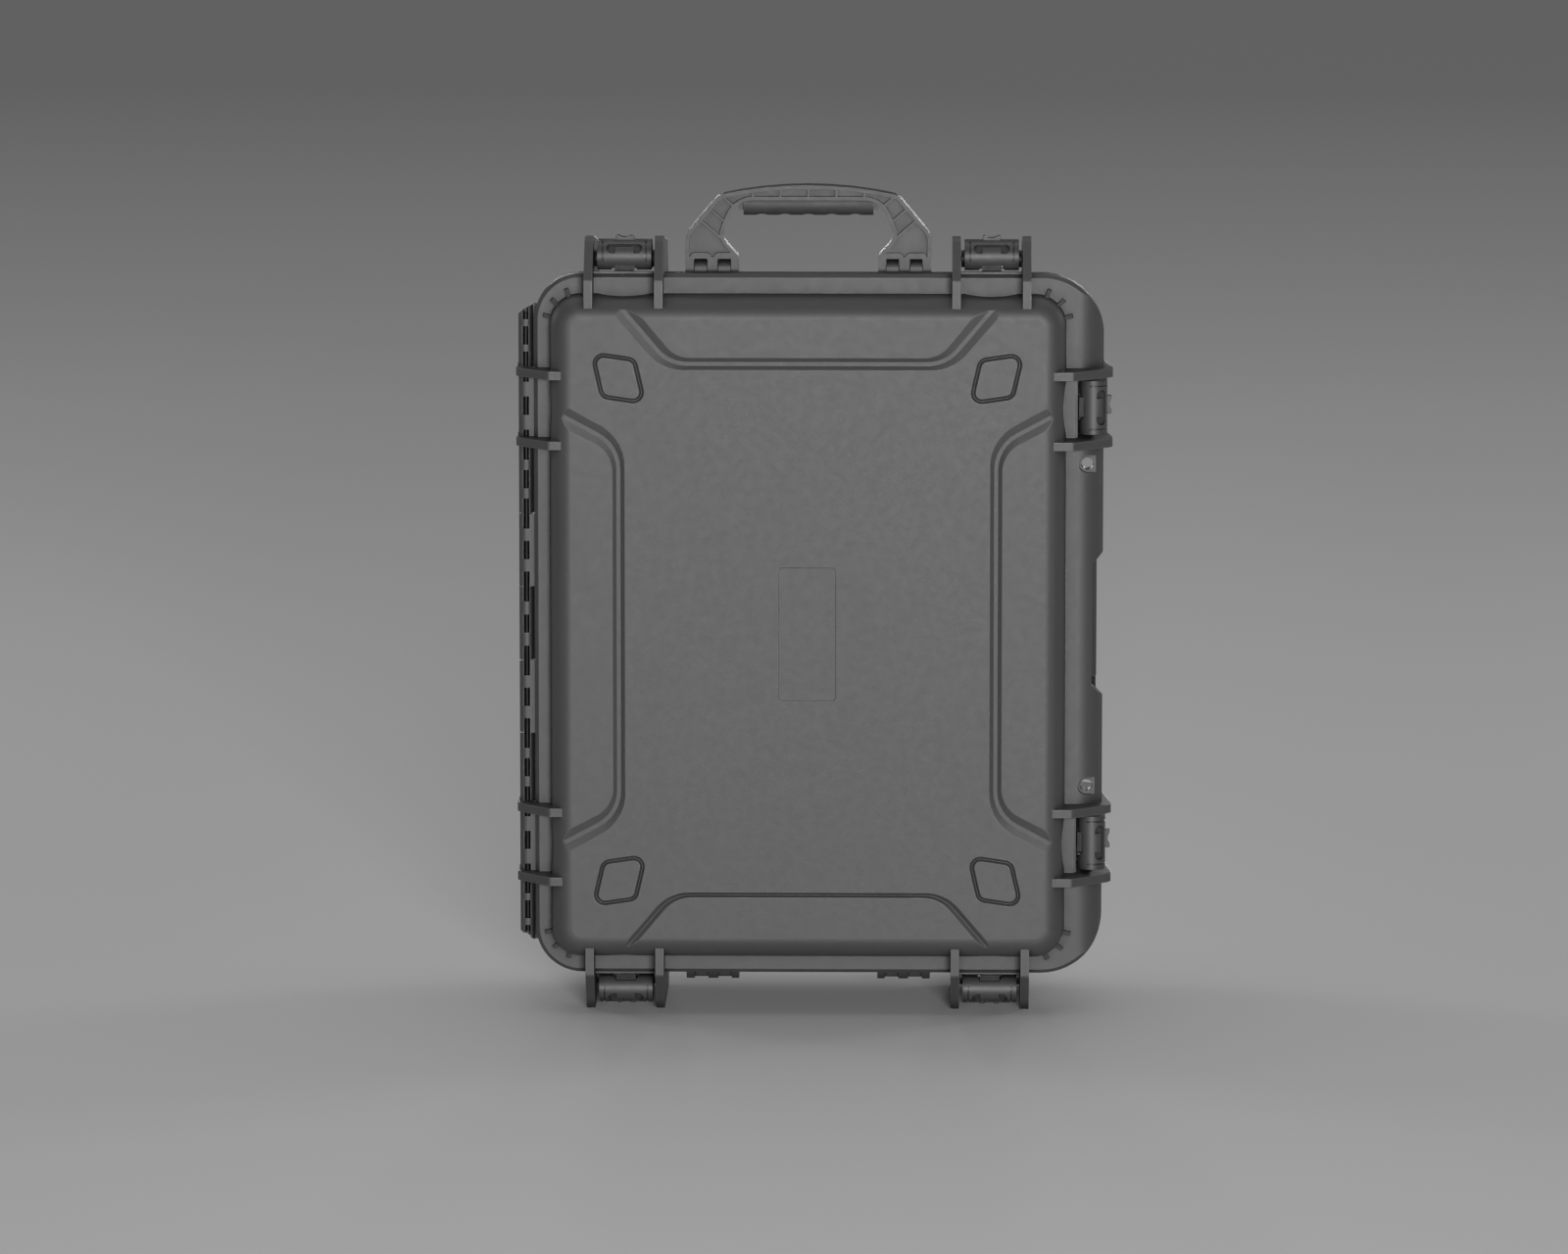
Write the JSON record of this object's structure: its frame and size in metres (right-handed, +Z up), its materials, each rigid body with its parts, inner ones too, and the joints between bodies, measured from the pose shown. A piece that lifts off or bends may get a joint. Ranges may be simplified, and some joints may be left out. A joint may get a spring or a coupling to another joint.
{
  "type": "equipment case",
  "caption": "Rugged moulded case standing on its end, with a hinged lid, claw latches round its open sides, folding handles, a seal and a pressure valve.",
  "frame": {"origin": "middle of the standing case's box, on the floor under its end ribs", "axes": "+Z up along the case's height, -Y out of the lid's face, -X towards the hinge, +X towards the front with its grip notch"},
  "size_m": [0.4848, 0.213, 0.675],
  "materials": {
    "shell": "fine-grained dark grey polypropylene",
    "lever": "smooth satin dark grey nylon",
    "button": "smooth satin dark grey nylon",
    "grip_rubber": "soft over-moulded rubber",
    "seal_rubber": "closed-cell neoprene",
    "valve": "moulded nylon",
    "steel": "stainless steel, drawn"
  },
  "bodies": {
    "base": {"base_shell": "shell", "hinge_pin": "steel", "latch_hinge_pins": "steel", "handle_pins": "steel", "valve_body": "valve", "valve_seal": "seal_rubber", "valve_nut": "valve"},
    "lid": {"lid_shell": "shell", "lid_seal": "seal_rubber"},
    "lever_top_left": {"latch_lever_top_left": "lever", "latch_claw_pin_top_left": "steel", "latch_spring_top_left": "steel"},
    "claw_top_left": {"latch_claw_top_left": "steel"},
    "button_top_left": {"latch_button_top_left": "button"},
    "lever_top_right": {"latch_lever_top_right": "lever", "latch_claw_pin_top_right": "steel", "latch_spring_top_right": "steel"},
    "claw_top_right": {"latch_claw_top_right": "steel"},
    "button_top_right": {"latch_button_top_right": "button"},
    "lever_front_upper": {"latch_lever_front_upper": "lever", "latch_claw_pin_front_upper": "steel", "latch_spring_front_upper": "steel"},
    "claw_front_upper": {"latch_claw_front_upper": "steel"},
    "button_front_upper": {"latch_button_front_upper": "button"},
    "lever_front_lower": {"latch_lever_front_lower": "lever", "latch_claw_pin_front_lower": "steel", "latch_spring_front_lower": "steel"},
    "claw_front_lower": {"latch_claw_front_lower": "steel"},
    "button_front_lower": {"latch_button_front_lower": "button"},
    "lever_bottom_right": {"latch_lever_bottom_right": "lever", "latch_claw_pin_bottom_right": "steel", "latch_spring_bottom_right": "steel"},
    "claw_bottom_right": {"latch_claw_bottom_right": "steel"},
    "button_bottom_right": {"latch_button_bottom_right": "button"},
    "lever_bottom_left": {"latch_lever_bottom_left": "lever", "latch_claw_pin_bottom_left": "steel", "latch_spring_bottom_left": "steel"},
    "claw_bottom_left": {"latch_claw_bottom_left": "steel"},
    "button_bottom_left": {"latch_button_bottom_left": "button"},
    "handle_top": {"handle_top": "lever", "handle_grip_top": "grip_rubber"},
    "handle_front": {"handle_front": "lever", "handle_grip_front": "grip_rubber"},
    "handle_bottom": {"handle_bottom": "lever", "handle_grip_bottom": "grip_rubber"}
  },
  "joints": [
    {"name": "lid_hinge", "type": "hinge", "parent": "base", "child": "lid", "pos_m": [-0.2348, -0.0615, 0.3175], "axis": [0, 0, -1], "range_deg": [0, 105]},
    {"name": "latch_turn_top_left", "type": "hinge", "parent": "base", "child": "lever_top_left", "pos_m": [-0.1542, -0.0355, 0.614], "axis": [-1, 0, 0], "range_deg": [0, 75]},
    {"name": "claw_turn_top_left", "type": "hinge", "parent": "lever_top_left", "child": "claw_top_left", "pos_m": [-0.1542, -0.0545, 0.613], "axis": [-1, 0, 0], "range_deg": [0, 15], "stiffness_Nm_per_rad": 0.03, "springref_deg": -17.19},
    {"name": "button_press_top_left", "type": "slide", "parent": "lever_top_left", "child": "button_top_left", "axis": [0, 0, -1], "range_m": [0, 0.0022]},
    {"name": "latch_turn_top_right", "type": "hinge", "parent": "base", "child": "lever_top_right", "pos_m": [0.1438, -0.0355, 0.614], "axis": [-1, 0, 0], "range_deg": [0, 75]},
    {"name": "claw_turn_top_right", "type": "hinge", "parent": "lever_top_right", "child": "claw_top_right", "pos_m": [0.1438, -0.0545, 0.613], "axis": [-1, 0, 0], "range_deg": [0, 15], "stiffness_Nm_per_rad": 0.03, "springref_deg": -17.19},
    {"name": "button_press_top_right", "type": "slide", "parent": "lever_top_right", "child": "button_top_right", "axis": [0, 0, -1], "range_m": [0, 0.0022]},
    {"name": "latch_turn_front_upper", "type": "hinge", "parent": "base", "child": "lever_front_upper", "pos_m": [0.2214, -0.0355, 0.4965], "axis": [0, 0, 1], "range_deg": [0, 75]},
    {"name": "claw_turn_front_upper", "type": "hinge", "parent": "lever_front_upper", "child": "claw_front_upper", "pos_m": [0.2204, -0.0545, 0.4965], "axis": [0, 0, 1], "range_deg": [0, 15], "stiffness_Nm_per_rad": 0.03, "springref_deg": -17.19},
    {"name": "button_press_front_upper", "type": "slide", "parent": "lever_front_upper", "child": "button_front_upper", "axis": [-1, 0, 0], "range_m": [0, 0.0022]},
    {"name": "latch_turn_front_lower", "type": "hinge", "parent": "base", "child": "lever_front_lower", "pos_m": [0.2214, -0.0355, 0.1385], "axis": [0, 0, 1], "range_deg": [0, 75]},
    {"name": "claw_turn_front_lower", "type": "hinge", "parent": "lever_front_lower", "child": "claw_front_lower", "pos_m": [0.2204, -0.0545, 0.1385], "axis": [0, 0, 1], "range_deg": [0, 15], "stiffness_Nm_per_rad": 0.03, "springref_deg": -17.19},
    {"name": "button_press_front_lower", "type": "slide", "parent": "lever_front_lower", "child": "button_front_lower", "axis": [-1, 0, 0], "range_m": [0, 0.0022]},
    {"name": "latch_turn_bottom_right", "type": "hinge", "parent": "base", "child": "lever_bottom_right", "pos_m": [0.1438, -0.0355, 0.021], "axis": [1, 0, 0], "range_deg": [0, 75]},
    {"name": "claw_turn_bottom_right", "type": "hinge", "parent": "lever_bottom_right", "child": "claw_bottom_right", "pos_m": [0.1438, -0.0545, 0.022], "axis": [1, 0, 0], "range_deg": [0, 15], "stiffness_Nm_per_rad": 0.03, "springref_deg": -17.19},
    {"name": "button_press_bottom_right", "type": "slide", "parent": "lever_bottom_right", "child": "button_bottom_right", "axis": [0, 0, 1], "range_m": [0, 0.0022]},
    {"name": "latch_turn_bottom_left", "type": "hinge", "parent": "base", "child": "lever_bottom_left", "pos_m": [-0.1542, -0.0355, 0.021], "axis": [1, 0, 0], "range_deg": [0, 75]},
    {"name": "claw_turn_bottom_left", "type": "hinge", "parent": "lever_bottom_left", "child": "claw_bottom_left", "pos_m": [-0.1542, -0.0545, 0.022], "axis": [1, 0, 0], "range_deg": [0, 15], "stiffness_Nm_per_rad": 0.03, "springref_deg": -17.19},
    {"name": "button_press_bottom_left", "type": "slide", "parent": "lever_bottom_left", "child": "button_bottom_left", "axis": [0, 0, 1], "range_m": [0, 0.0022]},
    {"name": "handle_fold_top", "type": "hinge", "parent": "base", "child": "handle_top", "pos_m": [-0.0052, -0.0395, 0.6065], "axis": [-1, 0, 0], "range_deg": [0, 90]},
    {"name": "handle_raise_front", "type": "hinge", "parent": "base", "child": "handle_front", "pos_m": [0.2218, -0.0395, 0.3175], "axis": [0, 0, -1], "range_deg": [0, 90]},
    {"name": "handle_raise_bottom", "type": "hinge", "parent": "base", "child": "handle_bottom", "pos_m": [-0.0052, -0.0395, 0.0285], "axis": [-1, 0, 0], "range_deg": [0, 90]}
  ],
  "couplings": [
    {"joint": "button_press_top_left", "follows": "claw_turn_top_left", "m_per_rad": 0.0084},
    {"joint": "button_press_top_right", "follows": "claw_turn_top_right", "m_per_rad": 0.0084},
    {"joint": "button_press_front_upper", "follows": "claw_turn_front_upper", "m_per_rad": 0.0084},
    {"joint": "button_press_front_lower", "follows": "claw_turn_front_lower", "m_per_rad": 0.0084},
    {"joint": "button_press_bottom_right", "follows": "claw_turn_bottom_right", "m_per_rad": 0.0084},
    {"joint": "button_press_bottom_left", "follows": "claw_turn_bottom_left", "m_per_rad": 0.0084}
  ]
}
